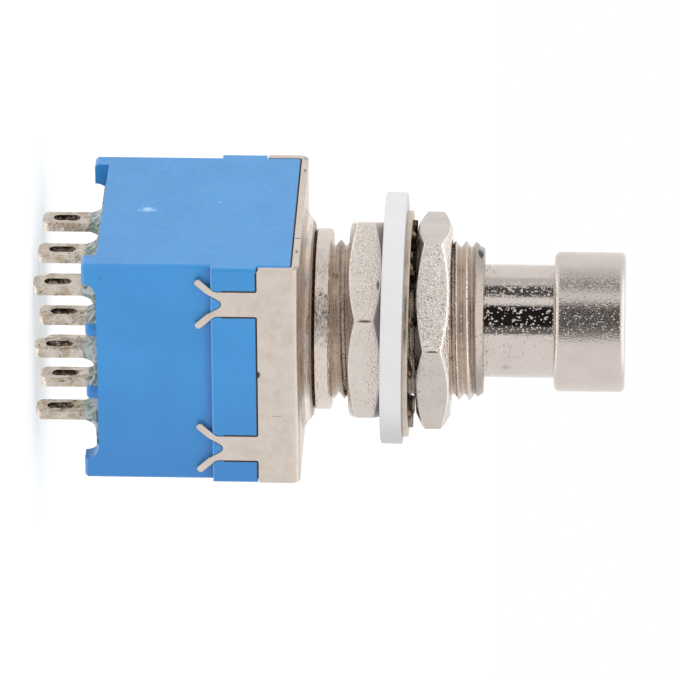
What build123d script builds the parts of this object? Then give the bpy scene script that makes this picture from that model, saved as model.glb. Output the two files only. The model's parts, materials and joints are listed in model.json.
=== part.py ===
from build123d import *
from math import asin, cos, degrees, hypot, pi, radians, sin, tan
import os

# Latching stomp switch, three poles with two throws each. Millimetres, +Z up.
# The origin is on the bushing's axis, on the outer face of the cover plate.
# The button is on top, the solder lugs point down, and each pole runs along X.

# Sheet-metal cover
sheet = 0.5                    # thickness of the folded steel sheet
cover_inset = 0.05             # the cover's sides lie this far inside the case's
cover_drop = 3.06              # from the plate's outer face to the flange's edge
outer_bend = 0.7
inner_bend = 0.2
flange_corner = 0.2
dome_height = 0.8              # the raised seat of the bushing
dome_top_radius = 7.2
dome_run = 1.0                 # width of the slope down to the plate
dome_margin = 0.45             # flat ring between the dome's foot and the plate
dome_fillet = 0.9
dome_foot_fillet = 0.4

# Legs that grip the case, and their splayed prongs
leg_offset = 6.0               # from the middle of the flange to a leg
leg_width = 2.0
leg_length = 6.2               # from the plate's outer face to where the prongs turn out
leg_corner = 0.15
prong_angle = 43.0             # from straight down
prong_reach = 1.62
prong_width = 0.5
prong_turn = 0.6               # bend radius at the prong's outer root
crotch_rise = 0.82             # how far the split runs up the leg
crotch_radius = 0.36
prong_heel = 0.42              # the prong widens towards the leg from here
heel_round = 1.0
prong_outer_round = 0.24
prong_inner_round = 0.21

# Moulded case
case_width = 17.8              # along X
case_depth = 18.0              # along Y, between the faces that carry the legs' prongs
case_height = 14.45            # from under the cover plate to the rim
case_corner = 0.3
top_bevel = 0.18
side_wall = 1.4                # walls of the upper chamber
recess_depth = 1.65            # for the resin, from the rim
floor = 1.3
ledge_width = 0.6              # step that the spring seat rests on
land_end = 6.45                # from the plate's outer face to the end of the raised lands
land_corner = 0.25
land_gap = 0.06                # between the flange's edge and the lands
leg_gap = 0.06                 # each side of a leg in its channel
rim_wall_x = 1.2               # rim of the lug side, across X
rim_wall_y = 1.7
post_x = 1.6                   # corner posts on the rim
post_y = 1.55
post_height = 1.05
post_fillet = 1.0
post_blend = 1.2               # run of the rounded foot along the rim
stub_x = 2.6                   # small round stubs between the lugs
stub_inset = 2.0               # from the case's face to a stub's axis
stub_radius = 0.6
stub_height = 0.95             # above the rim
stub_bevel = 0.2

# Solder lugs
throw_pitch = 5.2              # along a pole
pole_pitch = 5.2               # from pole to pole
lug_width = 1.9                # along Y
lug_thickness = 0.7
lug_reach = 4.85               # beyond the rim
lug_corner = 0.55
eyelet_length = 2.0
eyelet_width = 0.9
eyelet_edge = 0.8              # from the tip to the eyelet
lug_slot_gap = 0.04

# Sealing resin
resin_edge_rise = 0.3          # above the rim
resin_middle_rise = 0.75
resin_middle_inset = 1.3
collar_rise = 1.45             # above the rim, where it climbs a lug
collar_spread = 0.75
collar_tip = 0.12

# Bushing and its hardware
thread_radius = 5.95           # M12 x 0.75 major diameter
bushing_top = 13.42
thread_lead = 0.75             # length of the chamfer at the thread's start, and its depth
thread_chamfer = 0.55
shoulder_radius = 6.75
shoulder_height = 1.24
shoulder_bevel = 0.15
undercut_radius = 6.3
undercut_height = 0.06
spigot_radius = 6.2
stake_radius = 6.85
stake_height = 0.45
stop_level = 9.0               # step that keeps the plunger in
counterbore_radius = 4.85
bore_chamfer = 0.3
nut_flats = 14.5
nut_height = 2.52
nut_chamfer = 25.0             # degrees from the nut's faces
nut_band = 0.1                 # left between a face and the chamfer's arc on a flat
thread_gap = 0.05
lower_nut_level = 3.43
lower_nut_turn = 3.7
upper_nut_turn = 19.0
nylon_radius = 9.4
nylon_thickness = 1.72
nylon_bevel = 0.3
nylon_bore_gap = 0.2            # a loose fit on the thread, so it sits a little off centre
nylon_shift = (-0.12, 0.06)
lock_ring_outer = 8.45
lock_ring_inner = 7.5
lock_thickness = 0.45
lock_shift = (0.26, -0.14)
lock_teeth = 12
tooth_width = 1.2
tooth_twist = 18.0
tooth_gap = 0.4                # between the teeth and the thread

# Plunger with its head
shaft_radius = 4.22
shaft_gap = 0.06
head_radius = 5.2
head_level = 18.67
head_height = 5.26
head_bevel = 0.25
shaft_end = 6.4
shaft_bore_radius = 2.6
shaft_bore_depth = 4.6
button_travel = 4.0
ring_groove_depth = 0.35
ring_thickness = 0.6
ring_gap = 0.06
ring_opening = 4.2

# Latching mechanism
seat_thickness = 1.0
seat_gap = 0.05
seat_opening = 3.45
tab_width = 1.5
tab_thickness = 0.55
spring_wire = 0.5
spring_radius = 3.85
spring_turns = 4.5
spring_steps = 12              # straight pieces to each turn
wire_sides = 6
pivot_level = 7.5
pivot_radius = 0.5
pusher_width = 1.8             # along Y
pusher_eye = 1.15
shoulder_out = 0.92            # where the eye narrows to the shank
shoulder_down = 0.69
shank_start = 2.3
pusher_waist = 0.42
pusher_tip = 0.6
running_gap = 0.05
overcut = 1.0                  # how far a cutting shape runs past what it cuts

rocker_tilt = 18.0             # each way from upright
seesaw_tilt = 7.0              # each way from level
axle_radius = 0.8
axle_seat = 0.65               # how deep the axle's ends sit in the case's walls
rocker_hub = 1.6
rocker_end_gap = 0.4           # between the rocker's ends and the walls
boss_size = 2.6
boss_reach = 3.2
cup_radius = 0.75
cup_offset = 2.2
cup_height = 1.9
cup_half_length = 1.6
lip_offset = 3.5
lip_height = 2.1
peak_height = 2.15
pin_radius = 0.8
pin_length = 2.1
tip_reach = 4.3                # from the axle to the contact pins' tips
tip_gap = 0.15
pin_travel = 0.4
pin_bore_top = 1.35            # from the axle to the bore's end
pin_spring_wire = 0.16
pin_spring_radius = 0.55
pin_spring_turns = 3.5
pin_spring_steps = 8

seesaw_thickness = 0.4
seesaw_width = 2.2
seesaw_half_length = 5.9
keel_radius = 0.4
seesaw_rise = 0.3              # from the keel's axis to the top of the fold
contact_radius = 0.45
contact_length = 1.3
contact_gap = 0.04
cradle_height = 1.4            # from the chamber's floor to the see-saw's axis
cradle_size = 1.8
cradle_lip = 0.12              # the cradle's top under the see-saw's axis
head_size_x = 1.7
head_size_y = 2.0
head_edge = 0.2

# Levels and half sizes that follow from the values above
case_top = -sheet
rim_level = case_top - case_height
recess_level = rim_level + recess_depth
floor_top = recess_level + floor
chamber_depth = case_top - floor_top
lug_tip = rim_level - lug_reach
half_width = case_width / 2
half_depth = case_depth / 2
flange_face = half_depth + sheet
cover_width = case_width - 2 * cover_inset
dome_base_radius = dome_top_radius + dome_run
chamber_x = half_width - side_wall
chamber_y = half_depth - side_wall
rocker_half_length = chamber_y - rocker_end_gap
recess_x = half_width - rim_wall_x
recess_y = half_depth - rim_wall_y
stub_y = half_depth - stub_inset
bore_radius = shaft_radius + shaft_gap
shoulder_level = dome_height + undercut_height
nylon_level = lower_nut_level + nut_height
tooth_half_height = tooth_width / 2 * sin(radians(tooth_twist)) + lock_thickness / 2 * cos(radians(tooth_twist))
lock_level = nylon_level + nylon_thickness
upper_nut_level = lock_level + 2 * tooth_half_height
nut_bore = thread_radius + thread_gap
tooth_inner = thread_radius + tooth_gap
seesaw_axis = floor_top + cradle_height
arm_rise = seesaw_tilt + rocker_tilt / 2
rocker_axis = seesaw_axis + seesaw_rise + tip_gap + tip_reach
tilt = radians(rocker_tilt)
sway = radians(seesaw_tilt)
rise = radians(arm_rise)

# The pusher's tip lies in the cup of the lowered side when the button is down
cup_x = cup_offset * cos(tilt) + cup_height * sin(tilt)
cup_z = rocker_axis + cup_height * cos(tilt) - cup_offset * sin(tilt)
pusher_drop = pivot_level - button_travel - cup_z
pusher_length = hypot(cup_x, pusher_drop)
pusher_angle = degrees(asin(cup_x / pusher_length))

# Where a lowered see-saw arm meets its lug's head
arm_under = seesaw_rise + throw_pitch * tan(rise) - seesaw_thickness / cos(rise)
contact_x = throw_pitch * cos(sway) + arm_under * sin(sway)
contact_z = seesaw_axis + arm_under * cos(sway) - throw_pitch * sin(sway)
head_top = contact_z - contact_radius - contact_gap

pole_rows = {"front": -pole_pitch, "middle": 0.0, "back": pole_pitch}
os.makedirs("parts", exist_ok=True)


def save(solid, name):
    solid.label = name
    export_step(solid, f"parts/{name}.step")


def turned_plane(y, z, angle):
    """Plane across Y at the given place, turned about Y so that its +X side drops by the angle."""
    turn = radians(angle)
    return Plane(origin=(0, y, z), x_dir=(cos(turn), 0, -sin(turn)), z_dir=(0, -1, 0))


# Cover: one folded sheet with a raised seat and four crimped legs
with BuildSketch() as leg_outline:
    outward = (sin(radians(prong_angle)), -cos(radians(prong_angle)))
    inward = (-cos(radians(prong_angle)), -sin(radians(prong_angle)))
    half_leg = leg_width / 2
    root = (half_leg, -leg_length)
    tip = (root[0] + prong_reach * outward[0], root[1] + prong_reach * outward[1])
    inner_tip = (tip[0] + prong_width * inward[0], tip[1] + prong_width * inward[1])
    heel = (
        root[0] + prong_heel * outward[0] + prong_width * inward[0],
        root[1] + prong_heel * outward[1] + prong_width * inward[1],
    )
    crotch = (0, -leg_length + crotch_rise)
    right_side = [(half_leg, -cover_drop + sheet), root, tip, inner_tip, heel]
    left_side = [(-x, z) for x, z in reversed(right_side)]
    with BuildLine():
        Polyline(*right_side, crotch, *left_side, close=True)
    make_face()
    level = leg_outline.vertices()
    fillet(level.filter_by(lambda v: abs(abs(v.X) - tip[0]) < 1e-4), prong_outer_round)
    level = leg_outline.vertices()
    fillet(level.filter_by(lambda v: abs(abs(v.X) - inner_tip[0]) < 1e-4), prong_inner_round)
    level = leg_outline.vertices()
    fillet(level.filter_by(lambda v: abs(v.Y + leg_length) < 1e-4), prong_turn)
    level = leg_outline.vertices()
    fillet(level.filter_by(lambda v: abs(v.Y - heel[1]) < 1e-4), heel_round)
    level = leg_outline.vertices()
    fillet(level.filter_by(lambda v: abs(v.Y - crotch[1]) < 1e-4), crotch_radius)

with BuildSketch() as leg_channel:
    add(leg_outline.sketch)
    offset(amount=leg_gap)

with BuildPart() as cover_bracket:
    with BuildSketch(Plane.YZ.offset(-cover_width / 2)) as channel:
        bend_end = -2 * outer_bend
        with BuildLine():
            Polyline(
                (-flange_face, bend_end), (-flange_face, 0), (flange_face, 0), (flange_face, bend_end),
                (half_depth, bend_end), (half_depth, -sheet), (-half_depth, -sheet), (-half_depth, bend_end),
                close=True,
            )
        make_face()
        fillet(channel.vertices().filter_by(lambda v: abs(v.Y) < 1e-4), outer_bend)
        fillet(channel.vertices().filter_by(lambda v: abs(v.Y + sheet) < 1e-4), inner_bend)
    extrude(amount=cover_width)
    with BuildSketch(Plane.XZ.offset(half_depth)) as flange:
        with Locations((0, (bend_end - cover_drop) / 2)):
            Rectangle(cover_width, cover_drop + bend_end)
        fillet(flange.vertices().group_by(Axis.Y)[0], flange_corner)
        with Locations((-leg_offset, 0), (leg_offset, 0)):
            add(leg_outline.sketch)
        inside = flange.vertices().filter_by(
            lambda v: abs(v.Y + cover_drop) < 1e-4 and abs(abs(abs(v.X) - leg_offset) - half_leg) < 1e-4
        )
        fillet(inside, leg_corner)
    extrude(amount=sheet)
    mirror(about=Plane.XZ)
    with BuildSketch(Plane.XY):
        Circle(dome_base_radius + dome_margin)
    extrude(amount=-sheet, mode=Mode.SUBTRACT)
    with BuildSketch(Plane.XZ) as dome_section:
        slope = asin(dome_height / hypot(dome_height, dome_base_radius - dome_top_radius))
        inset = sheet * tan(slope / 2)
        with BuildLine():
            Polyline(
                (spigot_radius, dome_height), (dome_top_radius, dome_height), (dome_base_radius, 0),
                (dome_base_radius + dome_margin, 0), (dome_base_radius + dome_margin, -sheet),
                (dome_base_radius - inset, -sheet), (dome_top_radius - inset, dome_height - sheet),
                (spigot_radius, dome_height - sheet), close=True,
            )
        make_face()
        crest = dome_section.vertices().filter_by(lambda v: abs(v.X - dome_top_radius) < 1e-4)
        fillet(crest, dome_fillet)
        foot = dome_section.vertices().filter_by(lambda v: abs(v.X - dome_base_radius) < 1e-4)
        fillet(foot, dome_foot_fillet)
    revolve(axis=Axis.Z)
save(cover_bracket.part, "cover_bracket")

# Case: one moulding with the chamber above its floor and the sealed recess below
with BuildPart() as case:
    with BuildSketch(Plane.XY.offset(rim_level)):
        RectangleRounded(case_width, case_depth, case_corner)
    extrude(amount=case_height)
    land_top = -cover_drop - land_gap
    with BuildSketch(Plane.XZ.offset(-flange_face)) as lands:
        with Locations((0, (land_top - land_end) / 2)):
            Rectangle(case_width, land_end + land_top)
        with Locations((-leg_offset, 0), (leg_offset, 0)):
            add(leg_channel.sketch, mode=Mode.SUBTRACT)
    extrude(amount=2 * flange_face)
    fillet(case.edges().filter_by(Axis.Z).filter_by(
        lambda e: abs(abs(e.center().X) - half_width) < 1e-4 and abs(abs(e.center().Y) - flange_face) < 1e-4
    ), land_corner)
    chamfer(case.edges().group_by(Axis.Z)[-1], top_bevel)
    with BuildSketch(Plane.XY.offset(case_top)):
        Rectangle(2 * (chamber_x + ledge_width), 2 * (chamber_y + ledge_width))
    extrude(amount=-seat_thickness, mode=Mode.SUBTRACT)
    with BuildSketch(Plane.XY.offset(case_top)):
        Rectangle(2 * chamber_x, 2 * chamber_y)
    extrude(amount=-chamber_depth, mode=Mode.SUBTRACT)
    with BuildSketch(Plane.XY.offset(case_top)):
        Rectangle(2 * axle_radius + 2 * seat_gap, 2 * (chamber_y + axle_seat))
    extrude(amount=rocker_axis - axle_radius - seat_gap - case_top, mode=Mode.SUBTRACT)
    with BuildSketch(Plane.XY.offset(rim_level)):
        Rectangle(2 * recess_x, 2 * recess_y)
    extrude(amount=recess_level - rim_level, mode=Mode.SUBTRACT)
    with BuildSketch(Plane.XY.offset(recess_level)):
        with GridLocations(throw_pitch, pole_pitch, 3, 3):
            Rectangle(lug_thickness + 2 * lug_slot_gap, lug_width + 2 * lug_slot_gap)
    extrude(amount=floor, mode=Mode.SUBTRACT)
    with BuildSketch(Plane.XZ.offset(half_depth)) as post_profile:
        post_inner = half_width - post_x
        blend_end = post_inner - post_blend
        with BuildLine():
            Polyline(
                (half_width, rim_level + sheet), (half_width, rim_level - post_height),
                (post_inner, rim_level - post_height), (post_inner, rim_level), (blend_end, rim_level),
                (blend_end, rim_level + sheet), close=True,
            )
        make_face()
        fillet(post_profile.vertices().filter_by(
            lambda v: abs(v.X - post_inner) < 1e-4 and abs(v.Y - rim_level) < 1e-4
        ), post_fillet)
        mirror(about=Plane.YZ)
    extrude(amount=-post_y)
    with BuildSketch(Plane.XZ.offset(-half_depth)):
        add(post_profile.sketch_local)
    extrude(amount=post_y)
    with BuildSketch(Plane.XY.offset(rim_level + sheet)):
        Rectangle(case_width + overcut, case_depth + overcut)
        RectangleRounded(case_width, case_depth, case_corner, mode=Mode.SUBTRACT)
    extrude(amount=-sheet - post_height, mode=Mode.SUBTRACT)
    with BuildSketch(Plane.XY.offset(recess_level)):
        with GridLocations(2 * stub_x, 2 * stub_y, 2, 2):
            Circle(stub_radius)
    extrude(amount=rim_level - stub_height - recess_level)
    stub_ends = case.edges().filter_by(GeomType.CIRCLE).group_by(Axis.Z)[0]
    chamfer(stub_ends, stub_bevel)
save(case.part, "case")


# Solder lugs: a blade with an eyelet, and a head above the chamber's floor
def make_lug(x, y, is_common):
    blade_top = floor_top + sheet
    length = blade_top - lug_tip
    with BuildPart() as lug:
        with BuildSketch(Plane.YZ.offset(x - lug_thickness / 2)) as blade:
            with Locations((y, (blade_top + lug_tip) / 2)):
                Rectangle(lug_width, length)
            fillet(blade.vertices().group_by(Axis.Y)[0], lug_corner)
            with Locations((y, lug_tip + eyelet_edge + eyelet_length / 2)):
                SlotOverall(eyelet_length, eyelet_width, rotation=90, mode=Mode.SUBTRACT)
        extrude(amount=lug_thickness)
        if is_common:
            with BuildSketch(Plane.XY.offset(floor_top)):
                with Locations((x, y)):
                    Rectangle(cradle_size, seesaw_width)
            extrude(amount=cradle_height - cradle_lip)
            with BuildSketch(Plane.XZ.offset(-y - seesaw_width)):
                with Locations((x, seesaw_axis)):
                    Circle(keel_radius + running_gap)
            extrude(amount=2 * seesaw_width, mode=Mode.SUBTRACT)
        else:
            with BuildSketch(Plane.XY.offset(floor_top)):
                with Locations((x, y)):
                    Rectangle(head_size_x, head_size_y)
            extrude(amount=head_top - floor_top)
            chamfer(lug.edges().group_by(Axis.Z)[-1], head_edge)
    return lug.part


for row, y in pole_rows.items():
    save(make_lug(0, y, True), f"{row}_common_lug")
    save(make_lug(-throw_pitch, y, False), f"{row}_left_lug")
    save(make_lug(throw_pitch, y, False), f"{row}_right_lug")

# Resin that fills the recess, swells in the middle and climbs each lug
with BuildPart() as sealing_resin:
    with BuildSketch(Plane.XY.offset(recess_level)):
        Rectangle(2 * recess_x, 2 * recess_y)
    extrude(amount=rim_level - resin_edge_rise - recess_level)
    chamfer(sealing_resin.edges().group_by(Axis.Z)[0], resin_edge_rise)
    with BuildSketch(Plane.XY.offset(rim_level - resin_edge_rise)):
        Rectangle(2 * (recess_x - resin_middle_inset), 2 * (recess_y - resin_middle_inset))
    extrude(amount=resin_edge_rise - resin_middle_rise, taper=45)
    for spot in GridLocations(throw_pitch, pole_pitch, 3, 3):
        x, y, _ = spot.position
        with BuildSketch(Plane.XY.offset(rim_level - resin_edge_rise)):
            with Locations((x, y)):
                Rectangle(lug_thickness + 2 * collar_spread, lug_width + 2 * collar_spread)
        with BuildSketch(Plane.XY.offset(rim_level - collar_rise)):
            with Locations((x, y)):
                Rectangle(lug_thickness + 2 * collar_tip, lug_width + 2 * collar_tip)
        loft()
    with BuildSketch(Plane.XY.offset(recess_level)):
        with GridLocations(throw_pitch, pole_pitch, 3, 3):
            Rectangle(lug_thickness, lug_width)
        with GridLocations(2 * stub_x, 2 * stub_y, 2, 2):
            Circle(stub_radius)
    extrude(amount=lug_tip - recess_level, mode=Mode.SUBTRACT)
save(sealing_resin.part, "sealing_resin")

# Bushing: threaded outside, with a shoulder above the cover and a staked lip below it
with BuildPart() as bushing:
    with BuildSketch(Plane.XZ) as bushing_section:
        stake_level = dome_height - sheet - stake_height
        shoulder_top = shoulder_level + shoulder_height
        with BuildLine():
            Polyline(
                (counterbore_radius, stake_level), (stake_radius, stake_level),
                (stake_radius, dome_height - sheet), (spigot_radius, dome_height - sheet),
                (spigot_radius, dome_height), (undercut_radius, dome_height),
                (undercut_radius, shoulder_level), (shoulder_radius, shoulder_level),
                (shoulder_radius, shoulder_top), (thread_radius, shoulder_top),
                (thread_radius, bushing_top - thread_lead), (thread_radius - thread_chamfer, bushing_top),
                (bore_radius + bore_chamfer, bushing_top), (bore_radius, bushing_top - bore_chamfer),
                (bore_radius, stop_level), (counterbore_radius, stop_level), close=True,
            )
        make_face()
        ring_corners = bushing_section.vertices().filter_by(lambda v: abs(v.X - shoulder_radius) < 1e-4)
        chamfer(ring_corners, shoulder_bevel)
    revolve(axis=Axis.Z)
save(bushing.part, "bushing")


# Nuts and washers on the thread
def make_nut(level, turn):
    corner = nut_flats / 2 / cos(radians(30))
    with BuildPart() as nut:
        with BuildSketch(Plane.XY.offset(level)):
            RegularPolygon(corner, 6, rotation=turn)
            Circle(nut_bore, mode=Mode.SUBTRACT)
        extrude(amount=nut_height)
        with BuildSketch(Plane.XZ):
            reach = corner + overcut
            drop = (corner - nut_flats / 2) * tan(radians(nut_chamfer)) + nut_band
            flat = corner - drop / tan(radians(nut_chamfer))
            with BuildLine():
                Polyline(
                    (0, level), (flat, level), (corner, level + drop), (reach, level + drop),
                    (reach, level + nut_height - drop), (corner, level + nut_height - drop),
                    (flat, level + nut_height), (0, level + nut_height), close=True,
                )
            make_face()
        revolve(axis=Axis.Z, mode=Mode.INTERSECT)
    return nut.part


save(make_nut(lower_nut_level, lower_nut_turn), "lower_nut")
save(make_nut(upper_nut_level, upper_nut_turn), "upper_nut")

with BuildPart() as nylon_washer:
    with BuildSketch(Plane.XY.offset(nylon_level)):
        with Locations(nylon_shift):
            Circle(nylon_radius)
            Circle(thread_radius + nylon_bore_gap, mode=Mode.SUBTRACT)
    extrude(amount=nylon_thickness)
    rims = nylon_washer.edges().filter_by(GeomType.CIRCLE).sort_by(SortBy.RADIUS)
    chamfer(rims[-2:], nylon_bevel)
save(nylon_washer.part, "nylon_washer")

with BuildPart() as lock_washer:
    with BuildSketch(Plane.XY.offset(lock_level)):
        with Locations(lock_shift):
            Circle(lock_ring_outer)
            Circle(lock_ring_inner, mode=Mode.SUBTRACT)
    extrude(amount=lock_thickness)
    tooth_length = lock_ring_inner - tooth_inner + lock_thickness / 2
    tooth_middle = tooth_inner + tooth_length / 2
    with Locations((*lock_shift, lock_level + tooth_half_height)):
        with PolarLocations(tooth_middle, lock_teeth):
            Box(tooth_length, tooth_width, lock_thickness, rotation=(tooth_twist, 0, 0))
save(lock_washer.part, "lock_washer")

# Plunger: head and hollow shaft turned from one bar
with BuildPart() as plunger:
    with BuildSketch(Plane.XZ) as plunger_section:
        groove_top = stop_level - ring_gap
        groove_floor = groove_top - ring_thickness
        with BuildLine():
            Polyline(
                (0, head_level + head_height), (head_radius, head_level + head_height),
                (head_radius, head_level), (shaft_radius, head_level), (shaft_radius, groove_top),
                (shaft_radius - ring_groove_depth, groove_top),
                (shaft_radius - ring_groove_depth, groove_floor), (shaft_radius, groove_floor),
                (shaft_radius, shaft_end), (shaft_bore_radius, shaft_end),
                (shaft_bore_radius, shaft_end + shaft_bore_depth), (0, shaft_end + shaft_bore_depth),
                close=True,
            )
        make_face()
        head_corners = plunger_section.vertices().filter_by(lambda v: abs(v.X - head_radius) < 1e-4)
        chamfer(head_corners, head_bevel)
    revolve(axis=Axis.Z)
    with BuildSketch(Plane.XZ.offset(-head_radius)):
        with Locations((0, pivot_level)):
            Circle(pivot_radius)
    extrude(amount=2 * head_radius, mode=Mode.SUBTRACT)
save(plunger.part, "plunger")

with BuildPart() as retaining_ring:
    with BuildSketch(Plane.XY.offset(groove_floor)):
        Circle(counterbore_radius - running_gap)
        Circle(shaft_radius - ring_groove_depth, mode=Mode.SUBTRACT)
        with Locations((0, counterbore_radius)):
            Rectangle(ring_opening, 2 * counterbore_radius, mode=Mode.SUBTRACT)
    extrude(amount=ring_thickness)
save(retaining_ring.part, "retaining_ring")

with BuildPart() as pusher_pin:
    with BuildSketch(Plane.XZ.offset(-shaft_radius + running_gap)):
        with Locations((0, pivot_level)):
            Circle(pivot_radius)
    extrude(amount=2 * (shaft_radius - running_gap))
save(pusher_pin.part, "pusher_pin")

# Pusher: swings on its pin so that its tip finds the rocker's lowered cup
with BuildPart() as pusher:
    with BuildSketch(turned_plane(0, pivot_level, -pusher_angle)):
        Circle(pusher_eye)
        with BuildLine():
            Polyline(
                (-shoulder_out, -shoulder_down), (shoulder_out, -shoulder_down),
                (pusher_waist, -shank_start), (pusher_waist, -pusher_length),
                (-pusher_waist, -pusher_length), (-pusher_waist, -shank_start), close=True,
            )
        make_face()
        with Locations((0, -pusher_length)):
            Circle(pusher_tip)
        Circle(pivot_radius + running_gap, mode=Mode.SUBTRACT)
    extrude(amount=pusher_width / 2, both=True)
save(pusher.part, "pusher")

# Seat under the cover: carries the return spring and holds the rocker's axle down
with BuildPart() as spring_seat:
    with BuildSketch(Plane.XY.offset(case_top - seat_thickness)):
        Rectangle(2 * (chamber_x + ledge_width - seat_gap), 2 * (chamber_y + ledge_width - seat_gap))
        Circle(seat_opening, mode=Mode.SUBTRACT)
    extrude(amount=seat_thickness)
    tab_length = case_top - seat_thickness - rocker_axis - axle_radius
    with BuildSketch(Plane.XY.offset(case_top - seat_thickness)):
        for side in (-1, 1):
            with Locations((0, side * (chamber_y + axle_seat - seat_gap - tab_thickness / 2))):
                Rectangle(tab_width, tab_thickness)
    extrude(amount=-tab_length)
save(spring_seat.part, "spring_seat")


def make_spring(base, direction, length, radius, wire, turns, steps):
    """Coil of straight pieces along a direction from its base, with the wire inside the length."""
    seat = Plane(origin=base, z_dir=direction)
    climb = length - wire
    count = round(turns * steps)
    with BuildPart() as spring:
        for step in range(count + 1):
            turn = 2 * pi * turns * step / count
            outward = seat.x_dir * cos(turn) + seat.y_dir * sin(turn)
            around = seat.y_dir * cos(turn) - seat.x_dir * sin(turn)
            middle = base + outward * radius + direction * (wire / 2 + climb * step / count)
            along = around * (2 * pi * turns * radius) + direction * climb
            with BuildSketch(Plane(origin=middle, x_dir=outward, z_dir=along)):
                RegularPolygon(wire / 2, wire_sides)
        loft(ruled=True)
    return spring.part


return_spring = make_spring(
    Vector(0, 0, case_top), Vector(0, 0, 1), shaft_end - case_top,
    spring_radius, spring_wire, spring_turns, spring_steps,
)
save(return_spring, "return_spring")

# Rocker on its axle, tilted to one of its two resting sides
with BuildPart() as rocker_axle:
    with BuildSketch(Plane.XZ.offset(-chamber_y - axle_seat + seat_gap)):
        with Locations((0, rocker_axis)):
            Circle(axle_radius)
    extrude(amount=2 * (chamber_y + axle_seat - seat_gap))
save(rocker_axle.part, "rocker_axle")

upright = turned_plane(0, rocker_axis, rocker_tilt)
rocker_down = -upright.y_dir
with BuildPart() as rocker:
    with BuildSketch(upright):
        Circle(rocker_hub)
    extrude(amount=rocker_half_length, both=True)
    with BuildSketch(upright) as cups:
        with BuildLine():
            Polyline(
                (-lip_offset, lip_height), (-cup_offset, cup_height), (0, peak_height),
                (cup_offset, cup_height), (lip_offset, lip_height), (lip_offset, lip_height / 2),
                (rocker_hub, -rocker_hub / 2), (-rocker_hub, -rocker_hub / 2),
                (-lip_offset, lip_height / 2), close=True,
            )
        make_face()
        with Locations((-cup_offset, cup_height), (cup_offset, cup_height)):
            Circle(cup_radius, mode=Mode.SUBTRACT)
    extrude(amount=cup_half_length, both=True)
    for y in pole_rows.values():
        with BuildSketch(turned_plane(y, rocker_axis, rocker_tilt)):
            with Locations((0, -boss_reach / 2)):
                Rectangle(boss_size, boss_reach)
        extrude(amount=boss_size / 2, both=True)
    for y in pole_rows.values():
        boss_end = Vector(0, y, rocker_axis) + rocker_down * boss_reach
        with BuildSketch(Plane(origin=boss_end, z_dir=-rocker_down)):
            Circle(pin_radius + running_gap)
        extrude(amount=boss_reach - pin_bore_top, mode=Mode.SUBTRACT)
    with BuildSketch(upright):
        Circle(axle_radius + running_gap)
    extrude(amount=rocker_half_length + overcut, both=True, mode=Mode.SUBTRACT)
save(rocker.part, "rocker")


def make_contact_pin(y):
    pin_back = tip_reach - pin_length
    with BuildPart() as pin:
        with BuildSketch(turned_plane(y, rocker_axis, rocker_tilt)):
            with BuildLine():
                Line((0, -tip_reach), (0, -pin_back))
                Line((0, -pin_back), (pin_radius, -pin_back))
                Line((pin_radius, -pin_back), (pin_radius, -tip_reach + pin_radius))
                CenterArc((0, -tip_reach + pin_radius), pin_radius, -90, 90)
            make_face()
        revolve(axis=Axis(Vector(0, y, rocker_axis), rocker_down))
    return pin.part


def make_seesaw(y):
    lift = tan(rise)
    thick = seesaw_thickness / cos(rise)
    arm_end = seesaw_half_length
    plane = turned_plane(y, seesaw_axis, -seesaw_tilt)
    with BuildPart() as seesaw:
        with BuildSketch(plane):
            with BuildLine():
                Polyline(
                    (-arm_end, seesaw_rise + arm_end * lift), (0, seesaw_rise),
                    (arm_end, seesaw_rise + arm_end * lift), (arm_end, seesaw_rise + arm_end * lift - thick),
                    (0, seesaw_rise - thick), (-arm_end, seesaw_rise + arm_end * lift - thick), close=True,
                )
            make_face()
            Circle(keel_radius)
        extrude(amount=seesaw_width / 2, both=True)
        with BuildSketch(plane):
            with Locations((-throw_pitch, arm_under), (throw_pitch, arm_under)):
                Circle(contact_radius)
                Rectangle(2 * contact_radius, contact_radius, align=(Align.CENTER, Align.MIN), mode=Mode.SUBTRACT)
        extrude(amount=contact_length / 2, both=True)
    return seesaw.part


for row, y in pole_rows.items():
    save(make_contact_pin(y), f"{row}_contact_pin")
    bore_end = Vector(0, y, rocker_axis) + rocker_down * pin_bore_top
    gap = tip_reach - pin_length - pin_bore_top
    coil = make_spring(
        bore_end, rocker_down, gap, pin_spring_radius, pin_spring_wire, pin_spring_turns, pin_spring_steps
    )
    save(coil, f"{row}_contact_spring")
    save(make_seesaw(y), f"{row}_seesaw")
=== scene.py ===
import bpy
import bmesh
import json
from math import cos, exp, hypot, log, pi, radians, sin, tan
from mathutils import Matrix, Vector


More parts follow.
